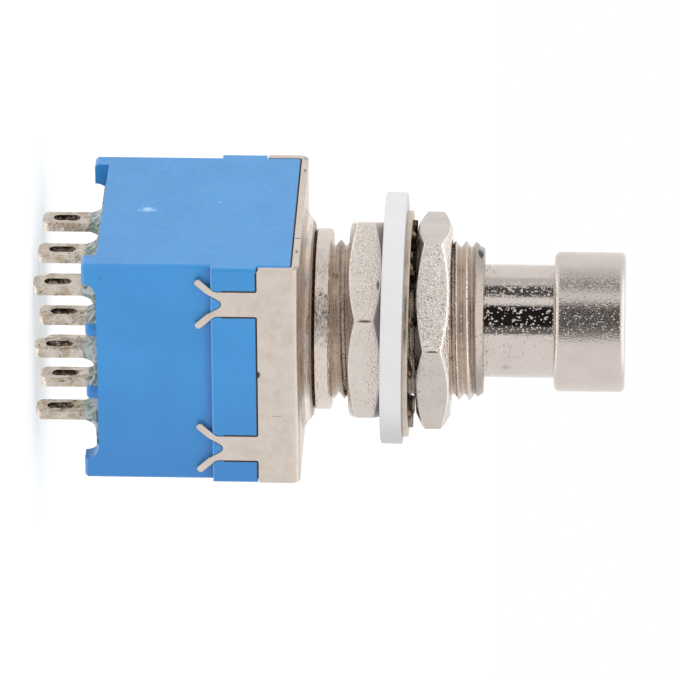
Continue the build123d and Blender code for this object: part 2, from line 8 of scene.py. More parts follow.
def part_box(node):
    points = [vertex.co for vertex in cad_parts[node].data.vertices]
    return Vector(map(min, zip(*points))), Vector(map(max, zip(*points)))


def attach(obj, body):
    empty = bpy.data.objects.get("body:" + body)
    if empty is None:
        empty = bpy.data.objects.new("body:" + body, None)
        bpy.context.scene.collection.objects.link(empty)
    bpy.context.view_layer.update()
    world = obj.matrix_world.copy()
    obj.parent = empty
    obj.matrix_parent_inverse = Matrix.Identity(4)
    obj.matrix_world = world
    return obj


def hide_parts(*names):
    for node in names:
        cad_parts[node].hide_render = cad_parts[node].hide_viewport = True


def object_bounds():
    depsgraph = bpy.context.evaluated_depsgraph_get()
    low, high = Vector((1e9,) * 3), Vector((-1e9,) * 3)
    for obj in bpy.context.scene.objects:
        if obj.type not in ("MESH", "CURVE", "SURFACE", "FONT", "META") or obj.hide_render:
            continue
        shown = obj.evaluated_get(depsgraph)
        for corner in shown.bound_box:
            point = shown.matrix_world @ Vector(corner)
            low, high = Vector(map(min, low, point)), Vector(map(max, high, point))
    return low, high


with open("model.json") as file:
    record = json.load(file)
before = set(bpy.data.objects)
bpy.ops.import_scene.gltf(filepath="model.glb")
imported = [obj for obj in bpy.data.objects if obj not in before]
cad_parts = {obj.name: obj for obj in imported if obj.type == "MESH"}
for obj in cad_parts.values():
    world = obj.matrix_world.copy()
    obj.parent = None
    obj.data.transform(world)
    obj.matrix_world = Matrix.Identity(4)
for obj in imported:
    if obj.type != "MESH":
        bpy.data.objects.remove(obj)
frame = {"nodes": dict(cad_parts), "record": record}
cadBox = [list(corner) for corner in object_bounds()]
scene = bpy.context.scene
mm = 0.001  # in metres, which the scene is in
bodyOf = {node: body for body, nodes in frame["record"]["behaviour"]["bodies"].items() for node in nodes}
slotOf = {part["node"]: part["material_slot"] for part in frame["record"]["subparts"]}
print("frame loaded")


def boxOf(node):  # lowest and highest corner of a node, in mm
    low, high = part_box(node)
    return Vector(low) / mm, Vector(high) / mm


# Camera: low on the front left, rolled so that the button points right. Angles in degrees, the rest in mm
shot = {
    "turn": 27.718, "lift": 2.174, "roll": 0.732, "away": 650.0, "along": 2.641, "across": -1.622,
    "lens": 460.75, "sensor": 36.0, "near": 20.0, "far": 20000.0,
}


def makeCamera():
    turn, lift, roll = (radians(shot[name]) for name in ("turn", "lift", "roll"))
    back = Vector((-sin(turn) * cos(lift), -cos(turn) * cos(lift), sin(lift)))
    along = (Vector((0, 0, 1)) - back * sin(lift)).normalized()
    across = along.cross(-back)
    right = along * cos(roll) + across * sin(roll)
    up = across * cos(roll) - along * sin(roll)
    data = bpy.data.cameras.new("shotCamera")
    data.lens = shot["lens"]
    data.sensor_width = shot["sensor"]
    data.clip_start, data.clip_end = shot["near"] * mm, shot["far"] * mm
    camera = bpy.data.objects.new("shotCamera", data)
    scene.collection.objects.link(camera)
    spot = (right * shot["along"] + up * shot["across"] + back * shot["away"]) * mm
    camera.matrix_world = Matrix.Translation(spot) @ Matrix((right, up, back)).transposed().to_4x4()
    scene.camera = camera
    return Vector((-sin(turn), -cos(turn), 0)), Vector((-cos(turn), sin(turn), 0))


frontSide, leftSide = makeCamera()  # level directions: towards the camera, and to the left of it
print("camera set")


# Helpers for the finishes
def srgb(red, green, blue):
    parts = [value / 255 for value in (red, green, blue)]
    return tuple(p / 12.92 if p <= 0.04045 else ((p + 0.055) / 1.055) ** 2.4 for p in parts) + (1.0,)


def plug(tree, node, socket, value):
    if isinstance(value, bpy.types.NodeSocket):
        tree.links.new(value, node.inputs[socket])
    else:
        node.inputs[socket].default_value = value


def addNode(tree, kind, inputs=None, **settings):
    node = tree.nodes.new(kind)
    for name, value in settings.items():
        setattr(node, name, value)
    for socket, value in (inputs or {}).items():
        plug(tree, node, socket, value)
    return node


def count(tree, how, *values):
    return addNode(tree, "ShaderNodeMath", dict(enumerate(values)), operation=how).outputs[0]


def reckon(tree, how, first, second):  # vector math
    return addNode(tree, "ShaderNodeVectorMath", {0: first, 1: second}, operation=how)


def allOf(tree, first, *others):  # 1 where every mask is 1
    for other in others:
        first = count(tree, "MULTIPLY", first, other)
    return first


def eitherOf(tree, mask, inside, outside):  # one value where the mask is 1 and another where it is 0
    return count(tree, "MULTIPLY_ADD", mask, inside - outside, outside)


def blend(tree, share, first, second, how="MIX"):
    node = addNode(tree, "ShaderNodeMix", data_type="RGBA", blend_type=how)
    for socket, value in ((0, share), (6, first), (7, second)):
        plug(tree, node, socket, value)
    return node.outputs[2]


def ramp(tree, source, stops, ease="LINEAR"):
    node = addNode(tree, "ShaderNodeValToRGB", {"Fac": source})
    node.color_ramp.interpolation = ease
    while len(node.color_ramp.elements) < len(stops):
        node.color_ramp.elements.new(0.5)
    for element, (at, colour) in zip(node.color_ramp.elements, stops):
        element.position = at
        element.color = colour if hasattr(colour, "__len__") else (colour, colour, colour, 1)
    return node.outputs[0]


def spread(tree, source, low, high, toLow=0.0, toHigh=1.0):  # an eased step from one value to another
    ends = {"Value": source, "From Min": low, "From Max": high, "To Min": toLow, "To Max": toHigh}
    return addNode(tree, "ShaderNodeMapRange", ends, interpolation_type="SMOOTHSTEP").outputs[0]


def place(tree):
    return addNode(tree, "ShaderNodeTexCoord").outputs["Object"]


def alongAxis(tree, axis):  # a coordinate of the point, in metres
    return addNode(tree, "ShaderNodeSeparateXYZ", {0: place(tree)}).outputs[axis]


def facing(tree, axis):  # a coordinate of the surface's direction
    normal = addNode(tree, "ShaderNodeNewGeometry").outputs["True Normal"]
    return addNode(tree, "ShaderNodeSeparateXYZ", {0: normal}).outputs[axis]


def grain(tree, size, detail=3.0, stretch=(1, 1, 1), rough=0.5, warp=0.0):  # noise, its size in mm
    spot = addNode(tree, "ShaderNodeMapping", {"Vector": place(tree), "Scale": stretch}).outputs[0]
    return addNode(tree, "ShaderNodeTexNoise", {
        "Vector": spot, "Scale": 1 / (size * mm), "Detail": detail, "Roughness": rough, "Distortion": warp,
    }).outputs[0]


def pits(tree, size, share, reach=0.4):  # 1 in the middle of scattered dots, one dot to a share of the cells
    cells = addNode(tree, "ShaderNodeTexVoronoi", {"Vector": place(tree), "Scale": 1 / (size * mm)})
    lot = addNode(tree, "ShaderNodeSeparateColor", {0: cells.outputs["Color"]}).outputs[0]
    chosen = count(tree, "GREATER_THAN", lot, 1 - share)
    return count(tree, "MULTIPLY", spread(tree, cells.outputs["Distance"], reach, 0.0), chosen)


def scratches(tree, size, width, share):  # short curved lines: parts of the borders between large cells
    waves = {"Vector": place(tree), "Scale": 0.8 / (size * mm), "Detail": 2.0}
    bent = addNode(tree, "ShaderNodeTexNoise", waves).outputs["Color"]
    shift = addNode(tree, "ShaderNodeVectorMath", {0: bent, "Scale": size * mm}, operation="SCALE").outputs[0]
    spot = reckon(tree, "ADD", place(tree), shift).outputs[0]
    cells = {"Vector": spot, "Scale": 1 / (size * mm)}
    edge = addNode(tree, "ShaderNodeTexVoronoi", cells, feature="DISTANCE_TO_EDGE").outputs[0]
    line = spread(tree, edge, width / size, 0.0)
    chosen = spread(tree, grain(tree, size * 0.6, detail=1.0), 1 - share, 1.06 - share)
    return count(tree, "MULTIPLY", line, chosen)


def raised(tree, height, depth, under=None):  # bumps, their depth in mm
    inputs = {"Height": height, "Distance": depth * mm, "Strength": 1.0}
    if under:
        inputs["Normal"] = under
    return addNode(tree, "ShaderNodeBump", inputs).outputs[0]


def nearTo(tree, point, size):  # 1 at the point, falling to 0 at that many mm from it along each axis
    shifted = reckon(tree, "SUBTRACT", place(tree), [p * mm for p in point]).outputs[0]
    scaled = reckon(tree, "MULTIPLY", shifted, [1 / (s * mm) for s in size]).outputs[0]
    length = addNode(tree, "ShaderNodeVectorMath", {0: scaled}, operation="LENGTH").outputs[1]
    return count(tree, "SUBTRACT", 1.0, length)


def heightAbove(tree, level):  # distance above a level given in mm, in mm
    return count(tree, "MULTIPLY_ADD", alongAxis(tree, 2), 1 / mm, -level)


def isAbove(tree, level):
    return count(tree, "GREATER_THAN", heightAbove(tree, level), 0.0)


def isBelow(tree, level):
    return count(tree, "LESS_THAN", heightAbove(tree, level), 0.0)


def within(tree, axis, low, high):  # 1 where a coordinate, in mm, lies between two values
    value = count(tree, "MULTIPLY", alongAxis(tree, axis), 1 / mm)
    return allOf(tree, count(tree, "GREATER_THAN", value, low), count(tree, "LESS_THAN", value, high))


def clouds(tree, size, dark, light, low=0.3, high=0.6, detail=4.0, rough=0.5, ease="LINEAR"):  # two tones
    patches = grain(tree, size, detail, rough=rough)
    return ramp(tree, patches, [(low, srgb(*dark)), (high, srgb(*light))], ease)


def stained(tree, under, tone, size, low, high, share, detail=4.0, rough=0.5, warp=0.0):  # another tone
    patches = spread(tree, grain(tree, size, detail, rough=rough, warp=warp), low, high, 0.0, share)
    return blend(tree, patches, under, srgb(*tone))


def dabbed(tree, under, tone, at, wide, share=1.0, soft=0.5):  # one small spot of another tone
    return blend(tree, spread(tree, nearTo(tree, at, wide), 0.0, soft, 0.0, share), under, srgb(*tone))


def uneven(tree, size, smooth, matt, detail=4.0):  # roughness that changes in patches
    return spread(tree, grain(tree, size, detail), 0.3, 0.7, smooth, matt)


def newFinish(name, **sockets):
    material = bpy.data.materials.new(name)
    material.use_nodes = True
    tree = material.node_tree
    shader = tree.nodes["Principled BSDF"]
    for socket, value in sockets.items():
        shader.inputs[socket.replace("_", " ")].default_value = value

    def put(socket, value):
        tree.links.new(value, shader.inputs[socket])
    return material, tree, put


# Finishes: a dictionary and a function each. Places, sizes and depths are in mm, colours run from 0 to 255
# Blue case: painted shade making it darker towards +X and below its lands' step, painted shade in the gaps
# where it meets the cover, and a painted highlight along its lands' lower end.
# A face counts as square to an axis from "square" on, the cosine of its slant
blueCase = {
    "colour": (30, 137, 206), "deep": (25, 132, 202), "cloud": 4.0,
    "far": (22, 118, 190), "farFrom": -2.0, "farTo": 12.0,
    "mark": (142, 195, 234), "markAt": (-8.9, 0.1, -11.6), "markSize": (1.5, 1.2, 1.8), "markGrain": 0.22,
    "markFrom": 1.08, "markTo": 1.4,
    "speck": (20, 50, 90), "specks": [((-7.8, -9.0, -14.6), (0.16, 0.16, 0.16))],
    "dot": (150, 205, 245), "dots": [((-8.9, 1.42, -6.28), (0.13, 0.13, 0.13))],
    "face": 8.95, "landEnd": -6.42, "step": (20, 106, 178), "stepShadeReach": 0.9, "stepShadeShare": 0.6,
    "edge": (112, 178, 234), "edgeWide": 0.07, "edgeCore": 0.02,
    "edgeShare": 0.55, "edgeFaint": 0.3, "edgeGrain": 0.4,
    "gap": (14, 22, 34), "gapHeight": 0.13, "inside": 8.6, "wallFrom": 0.15, "square": 0.98,
    "legAt": 6.0, "legHalf": 1.0, "legEnd": -5.65, "flangeEnd": -3.2, "lineWide": 0.14,
    "patch": 0.6, "smooth": 0.36, "matt": 0.5,
    "fine": 0.08, "fineDepth": 0.005, "wave": 1.8, "waveDepth": 0.02,
}


def gapShadeLines(tree, onFaces, fromLand):  # 1 where shade is painted into the gaps: round the legs, below the flanges and under the plate
    size = blueCase
    middle = within(tree, 0, -size["inside"], size["inside"])
    aslant = count(tree, "LESS_THAN", count(tree, "ABSOLUTE", facing(tree, 1)), size["square"])
    walls = allOf(tree, aslant, onFaces, middle, count(tree, "GREATER_THAN", fromLand, size["wallFrom"]))
    sideways = count(tree, "ABSOLUTE", alongAxis(tree, 0))
    fromLeg = count(tree, "ABSOLUTE", count(tree, "MULTIPLY_ADD", sideways, 1 / mm, -size["legAt"]))
    outside = count(tree, "GREATER_THAN", fromLeg, size["legHalf"])
    close = count(tree, "LESS_THAN", fromLeg, size["legHalf"] + size["lineWide"])
    besideLeg = allOf(tree, outside, close, isAbove(tree, size["legEnd"]))
    shade = allOf(tree, count(tree, "MAXIMUM", besideLeg, isAbove(tree, size["flangeEnd"])), onFaces, middle)
    gap = isAbove(tree, boxOf("case")[1].z - size["gapHeight"])
    return count(tree, "MAXIMUM", gap, count(tree, "MAXIMUM", walls, shade))


def makeBlueMoulding():
    size = blueCase
    material, tree, put = newFinish("blueMoulding", IOR=1.5, Coat_Weight=0.65, Coat_Roughness=0.32)
    colour = clouds(tree, size["cloud"], size["deep"], size["colour"], 0.35, 0.6, detail=3.0, ease="EASE")
    # painted shade: the case darker towards +X
    far = spread(tree, alongAxis(tree, 0), size["farFrom"] * mm, size["farTo"] * mm)
    colour = blend(tree, far, colour, srgb(*size["far"]))
    blot = nearTo(tree, size["markAt"], size["markSize"])
    blot = count(tree, "ADD", blot, grain(tree, size["markGrain"], detail=5.0, rough=0.75))
    colour = blend(tree, spread(tree, blot, size["markFrom"], size["markTo"]), colour, srgb(*size["mark"]))
    onFaces = count(tree, "GREATER_THAN", count(tree, "ABSOLUTE", alongAxis(tree, 1)), size["face"] * mm)
    fromLand = heightAbove(tree, size["landEnd"])
    # painted shade: a soft shadow below the lands' step on the ±Y faces
    step = spread(tree, fromLand, -size["stepShadeReach"], 0.0, 0.0, size["stepShadeShare"])
    step = allOf(tree, step, count(tree, "LESS_THAN", fromLand, 0.0), onFaces)
    colour = blend(tree, step, colour, srgb(*size["step"]))
    # painted highlight along the lands' lower edge, fainter in patches
    edgeHighlightShare = spread(tree, grain(tree, size["edgeGrain"]), 0.45, 0.7, 0.0, size["edgeFaint"])
    edgeHighlightShare = count(tree, "MAXIMUM", count(tree, "MULTIPLY", onFaces, size["edgeShare"]), edgeHighlightShare)
    edge = spread(tree, count(tree, "ABSOLUTE", fromLand), size["edgeWide"], size["edgeCore"])
    colour = blend(tree, count(tree, "MULTIPLY", edge, edgeHighlightShare), colour, srgb(*size["edge"]))
    # painted shade in the gaps round the legs, below the flanges and under the plate
    colour = blend(tree, gapShadeLines(tree, onFaces, fromLand), colour, srgb(*size["gap"]))
    for at, wide in size["specks"]:
        colour = dabbed(tree, colour, size["speck"], at, wide, share=0.7, soft=1.0)
    for at, wide in size["dots"]:
        colour = dabbed(tree, colour, size["dot"], at, wide, share=0.8, soft=0.8)
    put("Base Color", colour)
    put("Roughness", uneven(tree, size["patch"], size["smooth"], size["matt"], detail=5.0))
    fine = raised(tree, grain(tree, size["fine"], detail=4.0), size["fineDepth"])
    put("Normal", raised(tree, grain(tree, size["wave"], detail=2.0), size["waveDepth"], fine))
    return material


# Cover: painted shade along its bends, with turned rings, and bands of painted highlight and shade on the
# bushing's seat
coverPlate = {
    "colour": (216, 206, 198), "dull": (204, 192, 182), "cloud": 1.2,
    "bend": (188, 178, 170), "bendAt": -0.12, "bendWide": 0.36, "flange": 8.7,
    "seat": (150, 130, 112), "seatFrom": 0.02, "seatTo": 0.8,
    "seatLightAndShade": [(0.0, (196, 180, 166)), (0.28, (200, 185, 171)), (0.42, (238, 231, 224)),
                  (0.7, (230, 221, 213)), (0.88, (162, 145, 130))],
    "ring": 0.2, "ringShare": 0.6, "ringDepth": 0.03,
    "nick": (90, 75, 65),
    "nicks": [((-0.2, -9.5, -3.05), (0.36, 0.3, 0.24), 1.0), ((3.24, -9.5, -1.65), (0.05, 0.3, 0.5), 0.5),
              ((-8.87, 6.94, -0.2), (0.1, 0.3, 0.12), 0.8), ((-8.87, -6.38, -0.25), (0.1, 0.3, 0.12), 0.8),
              ((-8.87, -4.22, -0.2), (0.1, 0.12, 0.5), 0.7)],
    "patch": 0.5, "smooth": 0.24, "matt": 0.34, "fine": 0.1, "fineDepth": 0.006,
}


def makePlatedSheet():
    size = coverPlate
    material, tree, put = newFinish("platedSheet", Metallic=1.0)
    colour = clouds(tree, size["cloud"], size["dull"], size["colour"], detail=6.0, rough=0.65)
    outside = count(tree, "GREATER_THAN", count(tree, "ABSOLUTE", alongAxis(tree, 1)), size["flange"] * mm)
    # painted shade along the bends, toning down their highlight
    fromBend = count(tree, "ABSOLUTE", heightAbove(tree, size["bendAt"]))
    bend = count(tree, "MULTIPLY", spread(tree, fromBend, size["bendWide"], size["bendWide"] / 2), outside)
    colour = blend(tree, bend, colour, srgb(*size["bend"]))
    seat = isAbove(tree, size["seatFrom"])
    share = count(tree, "DIVIDE", heightAbove(tree, size["seatFrom"]), size["seatTo"])
    # painted highlight and painted shade in bands up the bushing's seat
    paintedBands = ramp(tree, share, [(at, srgb(*tone)) for at, tone in size["seatLightAndShade"]], "EASE")
    colour = blend(tree, seat, colour, paintedBands)
    rings = grain(tree, size["ring"], detail=2.0, stretch=(0.08, 0.08, 1))
    dark = count(tree, "MULTIPLY", spread(tree, rings, 0.48, 0.66, 0.0, size["ringShare"]), seat)
    colour = blend(tree, dark, colour, srgb(*size["seat"]))
    for at, wide, share in size["nicks"]:
        colour = dabbed(tree, colour, size["nick"], at, wide, share)
    put("Base Color", colour)
    put("Roughness", uneven(tree, size["patch"], size["smooth"], size["matt"]))
    fine = raised(tree, grain(tree, size["fine"], detail=4.0, stretch=(1, 1, 0.4)), size["fineDepth"])
    put("Normal", raised(tree, count(tree, "MULTIPLY", rings, seat), size["ringDepth"], fine))
    return material


# Bushing: turned streaks on the shoulder ring, pitted plating on the thread, a duller end, painted shade on
# the neck below the ring, and a painted shadow standing for a notch
turnedNickel = {
    "colour": (214, 203, 193), "dull": (202, 189, 178), "cloud": 1.6,
    "stain": (150, 132, 110), "stainSize": 0.7,
    "ring": (224, 214, 207), "ringShare": 0.7, "ringTop": 2.15, "end": (168, 158, 150), "endFrom": 12.66,
    "under": (116, 99, 84), "neckShadeTo": 0.97,
    "notchShade": (30, 28, 26), "notchAt": (-5.65, 0.1, 13.18), "notchSize": (0.5, 0.9, 0.28),
    "spot": (120, 104, 40), "spotAt": (-5.0, -2.52, 2.3), "spotSize": (0.35, 0.35, 0.14),
    "patch": 0.4, "smooth": 0.2, "matt": 0.32,
    "fine": 0.15, "fineDepth": 0.018, "pit": 0.25, "pitDepth": 0.03,
    "streak": 0.2, "streakDepth": 0.07, "dent": 0.35, "dentDepth": 0.06,
}


def makeTurnedNickel():
    size = turnedNickel
    material, tree, put = newFinish("nickelOnBrass", Metallic=1.0)
    colour = clouds(tree, size["cloud"], size["dull"], size["colour"], detail=5.0)
    colour = stained(tree, colour, size["stain"], size["stainSize"], 0.62, 0.78, 0.7)
    ring = isBelow(tree, size["ringTop"])
    thread = count(tree, "SUBTRACT", 1.0, ring)
    colour = blend(tree, count(tree, "MULTIPLY", ring, size["ringShare"]), colour, srgb(*size["ring"]))
    colour = blend(tree, isAbove(tree, size["endFrom"]), colour, srgb(*size["end"]))
    # painted shade standing for a notch near the end
    colour = dabbed(tree, colour, size["notchShade"], size["notchAt"], size["notchSize"])
    colour = dabbed(tree, colour, size["spot"], size["spotAt"], size["spotSize"], share=0.8, soft=0.8)
    # painted shade on the neck below the shoulder ring
    put("Base Color", blend(tree, isBelow(tree, size["neckShadeTo"]), colour, srgb(*size["under"])))
    put("Roughness", uneven(tree, size["patch"], size["smooth"], size["matt"]))
    dips = count(tree, "MULTIPLY", grain(tree, size["fine"], detail=1.0), thread)
    bumps = raised(tree, dips, size["fineDepth"])
    streaks = grain(tree, size["streak"], detail=2.0, stretch=(0.25, 0.25, 1))
    bumps = raised(tree, count(tree, "MULTIPLY", streaks, ring), size["streakDepth"], bumps)
    dents = grain(tree, size["dent"], detail=2.0, stretch=(0.6, 0.6, 1))
    bumps = raised(tree, count(tree, "MULTIPLY", dents, ring), size["dentDepth"], bumps)
    pitted = count(tree, "MULTIPLY", pits(tree, size["pit"], share=0.4), thread)
    put("Normal", raised(tree, pitted, size["pitDepth"], bumps))
    return material


# Nuts: blasted plating, with a painted highlight along the line between each flat and chamfer.
# The side pairs give how far a side faces left, from -1 to 1, with its brightness, which is painted light and
# shade
nutNickel = {
    "cloud": 2.4, "grain": 0.16, "pit": 0.22, "pitDepth": 0.03, "patch": 0.3, "smooth": 0.16, "matt": 0.26,
    "rim": (255, 253, 250), "nick": (60, 50, 44), "nickShare": 0.85,
    "lower_nut": {
        "colour": (234, 225, 218), "dull": (227, 218, 211), "depth": 0.08,
        "sides": [(-0.4, 0.84), (0.3, 1.0)],
        "nicks": [((-5.58, -5.16, 5.68), (0.5, 0.7, 0.16)), ((-3.69, -7.47, 4.79), (0.11, 0.4, 0.66))],
    },
    "upper_nut": {
        "colour": (231, 223, 216), "dull": (224, 215, 208), "depth": 0.105,
        "sides": [(-0.6, 0.76), (0.0, 1.0), (0.4, 1.0), (0.85, 0.84)],
        "nicks": [((-1.59, -8.18, 9.78), (0.09, 0.4, 0.6))],
    },
}


def makeNutNickel(node):
    size, own = nutNickel, nutNickel[node]
    material, tree, put = newFinish("blastedNickel_" + node, Metallic=1.0)
    colour = clouds(tree, size["cloud"], own["dull"], own["colour"], detail=5.0)
    # painted light and shade: each side lighter or darker by the way it faces
    normal = addNode(tree, "ShaderNodeNewGeometry").outputs["True Normal"]
    side = reckon(tree, "DOT_PRODUCT", normal, leftSide).outputs[1]
    stops = [((at + 1) / 2, share) for at, share in own["sides"]]
    tone = ramp(tree, count(tree, "MULTIPLY_ADD", side, 0.5, 0.5), stops)
    colour = blend(tree, 1.0, colour, tone, "MULTIPLY")
    for at, wide in own["nicks"]:
        colour = dabbed(tree, colour, size["nick"], at, wide, size["nickShare"])
    # painted highlight: white and not metal along the line between each flat and chamfer
    rim = addNode(tree, "ShaderNodeAttribute", attribute_name="rim").outputs["Fac"]
    put("Base Color", blend(tree, rim, colour, srgb(*size["rim"])))
    put("Metallic", count(tree, "SUBTRACT", 1.0, rim))
    put("Roughness", uneven(tree, size["patch"], size["smooth"], size["matt"]))
    bumps = raised(tree, grain(tree, size["grain"], detail=1.0), own["depth"])
    put("Normal", raised(tree, pits(tree, size["pit"], share=0.2), size["pitDepth"], bumps))
    return material


# Button: the head is satin, the shaft is polished with pits and short scratches
buttonNickel = {
    "colour": (210, 201, 195), "dull": (203, 193, 187), "cloud": 2.5, "headFrom": 18.6,
    "shaftRough": 0.1, "headRough": 0.2, "shaftGrain": 0.2, "headGrain": 0.7,
    "grain": 0.12, "grainDepth": 0.025,
    "smudge": (150, 146, 142), "smudgeAt": (1.96, -3.72, 15.12), "smudgeSize": (0.45, 0.45, 0.45),
    "small": 0.17, "smallDepth": 0.018, "pit": 0.24, "pitDepth": 0.05, "large": 0.42, "largeDepth": 0.08,
    "scratch": 1.1, "scratchWide": 0.035, "scratchShare": 0.47, "scratchDepth": 0.025,
}


def makeButtonNickel():
    size = buttonNickel
    material, tree, put = newFinish("polishedNickel", Metallic=1.0)
    colour = clouds(tree, size["cloud"], size["dull"], size["colour"])
    colour = dabbed(tree, colour, size["smudge"], size["smudgeAt"], size["smudgeSize"], share=0.45, soft=0.8)
    put("Base Color", colour)
    head = isAbove(tree, size["headFrom"])
    shaft = count(tree, "SUBTRACT", 1.0, head)
    put("Roughness", eitherOf(tree, head, size["headRough"], size["shaftRough"]))
    share = eitherOf(tree, head, size["headGrain"], size["shaftGrain"])
    dips = count(tree, "MULTIPLY", grain(tree, size["grain"], detail=1.0), share)
    bumps = raised(tree, dips, size["grainDepth"])
    bumps = raised(tree, pits(tree, size["small"], share=0.4), size["smallDepth"], bumps)
    pitted = count(tree, "MULTIPLY", pits(tree, size["pit"], share=0.3, reach=0.3), shaft)
    bumps = raised(tree, pitted, size["pitDepth"], bumps)
    large = count(tree, "MULTIPLY", pits(tree, size["large"], share=0.2, reach=0.28), shaft)
    bumps = raised(tree, large, size["largeDepth"], bumps)
    lines = scratches(tree, size["scratch"], size["scratchWide"], size["scratchShare"])
    put("Normal", raised(tree, count(tree, "MULTIPLY", lines, shaft), size["scratchDepth"], bumps))
    return material


# Nylon washer: plain white, with painted shade darker towards its right end
whiteNylon = {
    "colour": (221, 220, 222), "shade": (217, 216, 218), "cloud": 2.0,
    "dull": (188, 187, 188), "paintedShadeFrom": -6.2, "paintedShadeTo": -9.6, "fine": 0.3, "fineDepth": 0.004,
}


def makeWhiteNylon():
    size = whiteNylon
    material, tree, put = newFinish("whiteNylon", Roughness=0.5, IOR=1.53)
    colour = clouds(tree, size["cloud"], size["shade"], size["colour"], low=0.3, high=0.7, detail=3.0)
    # painted shade: darker towards the washer's right end
    along = reckon(tree, "DOT_PRODUCT", place(tree), leftSide / mm).outputs[1]
    dull = spread(tree, along, size["paintedShadeFrom"], size["paintedShadeTo"])
    put("Base Color", blend(tree, dull, colour, srgb(*size["dull"])))
    put("Normal", raised(tree, grain(tree, size["fine"], detail=4.0), size["fineDepth"]))
    return material


# Solder lugs: tin with tarnish and brass showing through, flux at their feet, dark eyelets
solderTin = {
    "colour": (208, 200, 191), "tarnish": (176, 162, 147), "cloud": 0.9,
    "dark": (84, 68, 54), "darkSize": 0.4, "brass": (186, 158, 104), "brassSize": 0.28,
    "flux": (150, 168, 150), "fluxAt": -16.0, "fluxBelow": -0.7, "fluxAbove": 0.5, "fluxGrain": 0.6,
    "eyelet": (72, 54, 44), "eyeletHalf": 0.6, "eyeletGrain": 0.3, "square": 0.6,
    "rowPitch": 5.2, "tip": -19.4,
    "patch": 0.5, "smooth": 0.14, "matt": 0.34,
    "fine": 0.16, "fineDepth": 0.02, "wave": 0.6, "waveDepth": 0.12,
}


def eyeletWalls(tree):  # 1 on the inner walls of the lugs' eyelets
    pitch = solderTin["rowPitch"] * mm
    along = count(tree, "FLOORED_MODULO", count(tree, "ADD", alongAxis(tree, 1), pitch * 2.5), pitch)
    fromRow = count(tree, "ABSOLUTE", count(tree, "SUBTRACT", along, pitch / 2))
    inside = count(tree, "LESS_THAN", fromRow, solderTin["eyeletHalf"] * mm)
    aslant = count(tree, "LESS_THAN", count(tree, "ABSOLUTE", facing(tree, 0)), solderTin["square"])
    return allOf(tree, inside, aslant, isAbove(tree, solderTin["tip"]))


def makeSolderTin():
    size = solderTin
    material, tree, put = newFinish("solderedTin", Metallic=1.0)
    colour = clouds(tree, size["cloud"], size["tarnish"], size["colour"], low=0.36, high=0.56)
    colour = stained(tree, colour, size["dark"], size["darkSize"], 0.58, 0.68, 0.8, detail=5.0, rough=0.6)
    colour = stained(tree, colour, size["brass"], size["brassSize"], 0.54, 0.66, 0.5)
    foot = spread(tree, heightAbove(tree, size["fluxAt"]), size["fluxBelow"], size["fluxAbove"])
    foot = count(tree, "MULTIPLY", foot, spread(tree, grain(tree, size["fluxGrain"]), 0.35, 0.6, 0.3, 0.9))
    colour = blend(tree, foot, colour, srgb(*size["flux"]))
    dirt = spread(tree, grain(tree, size["eyeletGrain"], detail=4.0), 0.3, 0.6, 0.5, 1.0)
    walls = count(tree, "MULTIPLY", eyeletWalls(tree), dirt)
    put("Base Color", blend(tree, walls, colour, srgb(*size["eyelet"])))
    put("Roughness", uneven(tree, size["patch"], size["smooth"], size["matt"], detail=3.0))
    fine = raised(tree, grain(tree, size["fine"]), size["fineDepth"])
    put("Normal", raised(tree, grain(tree, size["wave"], detail=2.0), size["waveDepth"], fine))
    return material


# Lock washer: a pale ring, with painted shade and painted glints on the teeth inside it
toothedRing = {
    "colour": (206, 195, 182), "dull": (192, 179, 165), "cloud": 0.8,
    "teeth": (70, 56, 44), "glint": (150, 128, 106), "teethMottleSize": 0.4, "middle": (0.26, -0.14), "inner": 7.8,
    "patch": 0.5, "smooth": 0.25, "matt": 0.38, "fine": 0.16, "fineDepth": 0.008,
}


def makeToothedRing():
    size = toothedRing
    material, tree, put = newFinish("toothedRing", Metallic=1.0)
    ring = clouds(tree, size["cloud"], size["dull"], size["colour"], low=0.3, high=0.65)
    # painted shade over the teeth, its lighter patches painted glints
    teeth = clouds(tree, size["teethMottleSize"], size["teeth"], size["glint"], low=0.45, high=0.7, detail=3.0)
    inner = nearTo(tree, (*size["middle"], 0), (size["inner"], size["inner"], 1000))  # the same at any height
    put("Base Color", blend(tree, count(tree, "GREATER_THAN", inner, 0.0), ring, teeth))
    put("Roughness", uneven(tree, size["patch"], size["smooth"], size["matt"], detail=3.0))
    put("Normal", raised(tree, grain(tree, size["fine"], detail=4.0), size["fineDepth"]))
    return material


# Resin: milky and uneven, with teal and amber patches
castResin = {
    "colour": (218, 228, 228), "deep": (124, 152, 142), "cloud": 0.6, "teal": (54, 78, 66), "tealSize": 0.7,
    "amber": (160, 120, 58), "amberSize": 0.9, "wave": 0.8, "waveDepth": 0.06,
}


def makeCastResin():
    size = castResin
    material, tree, put = newFinish("castResin", Roughness=0.12, IOR=1.52, Transmission_Weight=0.35)
    colour = clouds(tree, size["cloud"], size["deep"], size["colour"], low=0.38, high=0.58, ease="EASE")
    colour = stained(tree, colour, size["teal"], size["tealSize"], 0.56, 0.68, 0.8, detail=3.0, warp=0.8)
    colour = stained(tree, colour, size["amber"], size["amberSize"], 0.6, 0.7, 0.75, detail=3.0, warp=1.0)
    put("Base Color", colour)
    put("Normal", raised(tree, grain(tree, size["wave"]), size["waveDepth"]))
    return material


def makePlain(name, light, dark, metal, rough, size=1.0, depth=0.004):  # for what needs only two tones
    material, tree, put = newFinish(name, Metallic=metal, Roughness=rough)
    put("Base Color", clouds(tree, size, dark, light, low=0.3, high=0.65))
    put("Normal", raised(tree, grain(tree, size / 5, detail=4.0), depth))
    return material


